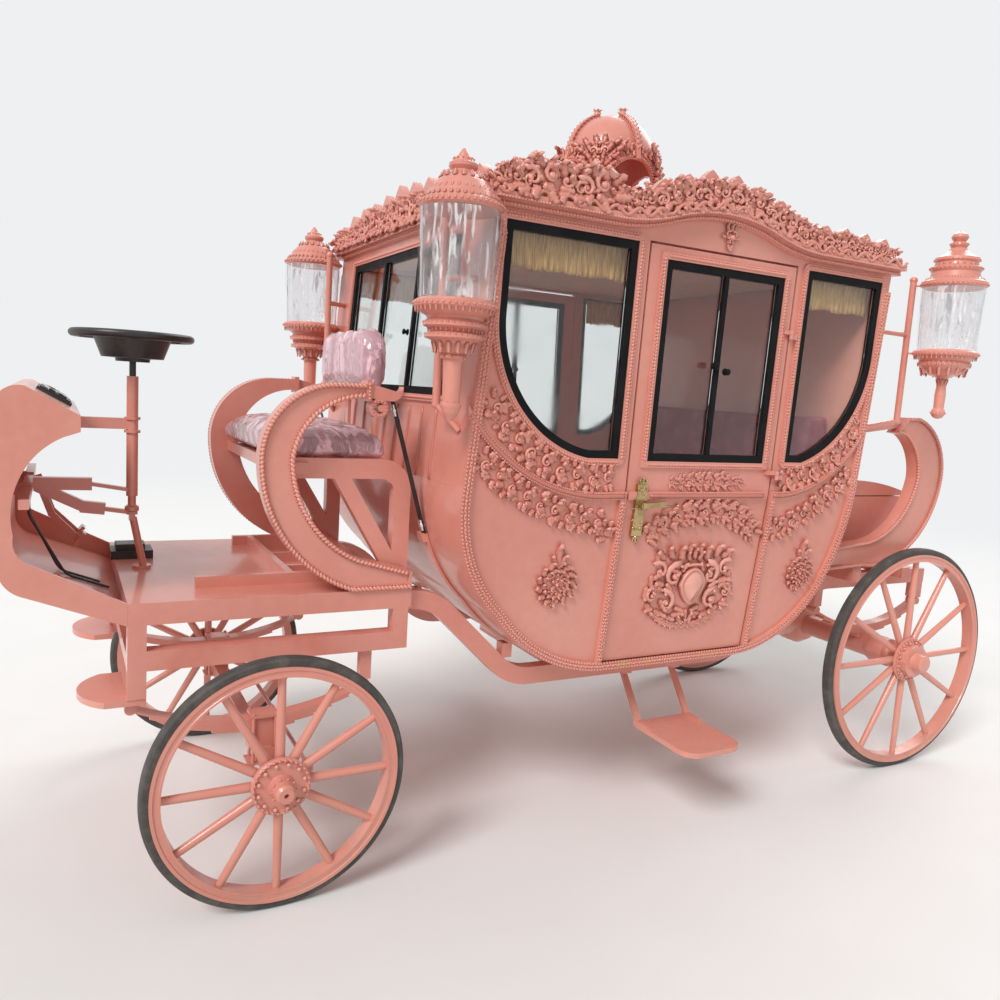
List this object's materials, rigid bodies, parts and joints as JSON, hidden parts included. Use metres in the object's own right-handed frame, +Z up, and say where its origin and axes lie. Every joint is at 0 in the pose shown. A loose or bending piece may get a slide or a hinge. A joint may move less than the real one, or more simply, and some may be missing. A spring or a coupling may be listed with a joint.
{
  "type": "wedding carriage",
  "caption": "Closed self-propelled wedding coach with opening doors, steered front wheels, lanterns, scrolls and a crown on the roof.",
  "frame": {"origin": "on the ground below the middle of the length and width", "axes": "+X forward in the direction of travel, +Y to the carriage's left, +Z up"},
  "size_m": [4.6628, 2.0938, 3.1683],
  "materials": {
    "pink_paint": "gloss salmon-pink paint over steel",
    "pink_shell": "gloss salmon-pink paint over moulded shell",
    "tyre_rubber": "worn, dusty",
    "black_frame": "satin black",
    "black_plastic": "matt black",
    "window_glass": "clear",
    "lamp_clear": "clear, lightly ribbed",
    "cushion": "pink, under clear film",
    "gilt": "worn gilt",
    "battery_case": "matt dark grey",
    "strap": "black"
  },
  "bodies": {
    "carriage": {"chassis_frame": "pink_paint", "front_subframe": "pink_paint", "deck": "pink_paint", "cowl": "pink_paint", "instrument_panel": "black_plastic", "steering_column": "pink_paint", "pedals": "pink_paint", "floor_pedal": "black_plastic", "driver_seat_frame": "pink_paint", "driver_cushion": "cushion", "driver_backrest": "cushion", "front_scrolls": "pink_paint", "rear_scrolls": "pink_paint", "coach_tub": "pink_shell", "rear_bench": "pink_shell", "bench_cushions": "cushion", "end_walls": "pink_shell", "side_panel_left": "pink_shell", "side_panel_right": "pink_shell", "window_frames": "black_frame", "window_glass": "window_glass", "roof": "pink_shell", "cresting": "pink_shell", "crown": "pink_shell", "lanterns": "pink_shell", "lamp_glass": "lamp_clear", "trunk": "pink_shell", "battery_pack": "battery_case", "door_steps": "pink_paint", "straps": "strap", "control_cables": "black_plastic", "leaf_springs": "pink_paint", "front_axle": "pink_paint", "rear_axle": "pink_paint"},
    "door_left": {"door_left": "pink_shell", "door_frame_left": "black_frame", "door_glass_left": "window_glass", "door_handle_left": "gilt"},
    "door_right": {"door_right": "pink_shell", "door_frame_right": "black_frame", "door_glass_right": "window_glass", "door_handle_right": "gilt"},
    "trunk_lid": {"trunk_lid": "pink_shell"},
    "steering_wheel": {"steering_wheel": "black_plastic"},
    "knuckle_left": {"knuckle_left": "pink_paint"},
    "knuckle_right": {"knuckle_right": "pink_paint"},
    "tie_rod": {"tie_rod": "pink_paint"},
    "front_wheel_left": {"front_wheel_left": "pink_paint", "front_tyre_left": "tyre_rubber"},
    "front_wheel_right": {"front_wheel_right": "pink_paint", "front_tyre_right": "tyre_rubber"},
    "rear_wheel_left": {"rear_wheel_left": "pink_paint", "rear_tyre_left": "tyre_rubber"},
    "rear_wheel_right": {"rear_wheel_right": "pink_paint", "rear_tyre_right": "tyre_rubber"}
  },
  "joints": [
    {"name": "steer_left", "type": "hinge", "parent": "carriage", "child": "knuckle_left", "pos_m": [1.4925, 0.66, 0.45], "axis": [0, 0, 1], "range_deg": [-25, 25]},
    {"name": "steer_right", "type": "hinge", "parent": "carriage", "child": "knuckle_right", "pos_m": [1.4925, -0.66, 0.45], "axis": [0, 0, 1], "range_deg": [-25, 25]},
    {"name": "tie_rod_pivot", "type": "hinge", "parent": "knuckle_left", "child": "tie_rod", "pos_m": [1.3625, 0.66, 0.443], "axis": [0, 0, 1], "range_deg": [-25, 25]},
    {"name": "steering_wheel_turn", "type": "hinge", "parent": "carriage", "child": "steering_wheel", "pos_m": [1.9065, 0, 1.95], "axis": [0, 0, 1], "range_deg": [-300, 300]},
    {"name": "door_left_hinge", "type": "hinge", "parent": "carriage", "child": "door_left", "pos_m": [-0.5835, 0.887, 1.5], "axis": [0, 0, 1], "range_deg": [0, 85]},
    {"name": "door_right_hinge", "type": "hinge", "parent": "carriage", "child": "door_right", "pos_m": [-0.5835, -0.887, 1.5], "axis": [0, 0, -1], "range_deg": [0, 85]},
    {"name": "trunk_lid_hinge", "type": "hinge", "parent": "carriage", "child": "trunk_lid", "pos_m": [-1.13575, 0, 1.409], "axis": [0, 1, 0], "range_deg": [0, 60]},
    {"name": "front_wheel_left_spin", "type": "hinge", "parent": "knuckle_left", "child": "front_wheel_left", "pos_m": [1.4925, 0.776, 0.45], "axis": [0, 1, 0], "continuous": true},
    {"name": "front_wheel_right_spin", "type": "hinge", "parent": "knuckle_right", "child": "front_wheel_right", "pos_m": [1.4925, -0.776, 0.45], "axis": [0, 1, 0], "continuous": true},
    {"name": "rear_wheel_left_spin", "type": "hinge", "parent": "carriage", "child": "rear_wheel_left", "pos_m": [-1.7485, 0.776, 0.583], "axis": [0, 1, 0], "continuous": true},
    {"name": "rear_wheel_right_spin", "type": "hinge", "parent": "carriage", "child": "rear_wheel_right", "pos_m": [-1.7485, -0.776, 0.583], "axis": [0, 1, 0], "continuous": true}
  ],
  "couplings": [
    {"joint": "steer_right", "follows": "steer_left", "ratio": 1},
    {"joint": "tie_rod_pivot", "follows": "steer_left", "ratio": -1},
    {"joint": "steering_wheel_turn", "follows": "steer_left", "ratio": 12}
  ]
}
